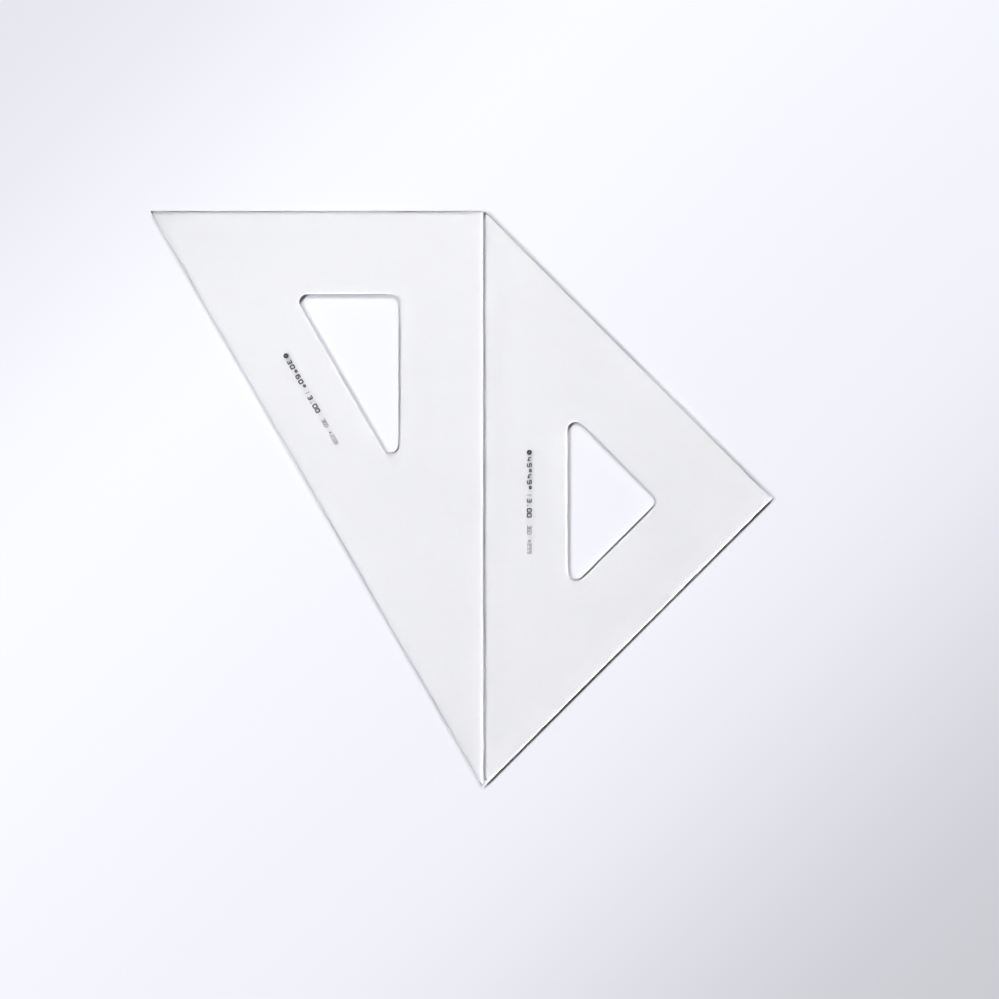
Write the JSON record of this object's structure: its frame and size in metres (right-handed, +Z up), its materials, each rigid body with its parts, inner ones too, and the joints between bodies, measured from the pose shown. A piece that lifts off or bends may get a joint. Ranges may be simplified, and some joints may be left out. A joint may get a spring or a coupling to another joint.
{
  "type": "pair of drafting set squares",
  "caption": "Matched pair of clear acrylic drafting set squares, one 30/60 and one 45 degree, each with a triangular window, lying edge to edge.",
  "frame": {"origin": "on the underside, in the middle of the pair's footprint", "axes": "+X along the short leg of the 30/60 square towards the 45 square, +Y along the shared edge towards the right angle of the 30/60 square, +Z up out of the printed faces"},
  "size_m": [0.3883, 0.3593, 0.003],
  "materials": {
    "clear_acrylic": "clear and polished",
    "black_ink": "matte printed ink"
  },
  "bodies": {
    "square_30_60": {"plate_30_60": "clear_acrylic", "legend_30_60": "black_ink"},
    "square_45": {"plate_45": "clear_acrylic", "legend_45": "black_ink"}
  },
  "joints": [
    {"name": "edge_slide", "type": "slide", "parent": "square_30_60", "child": "square_45", "axis": [0, 1, 0], "range_m": [-0.18, 0.18]}
  ]
}
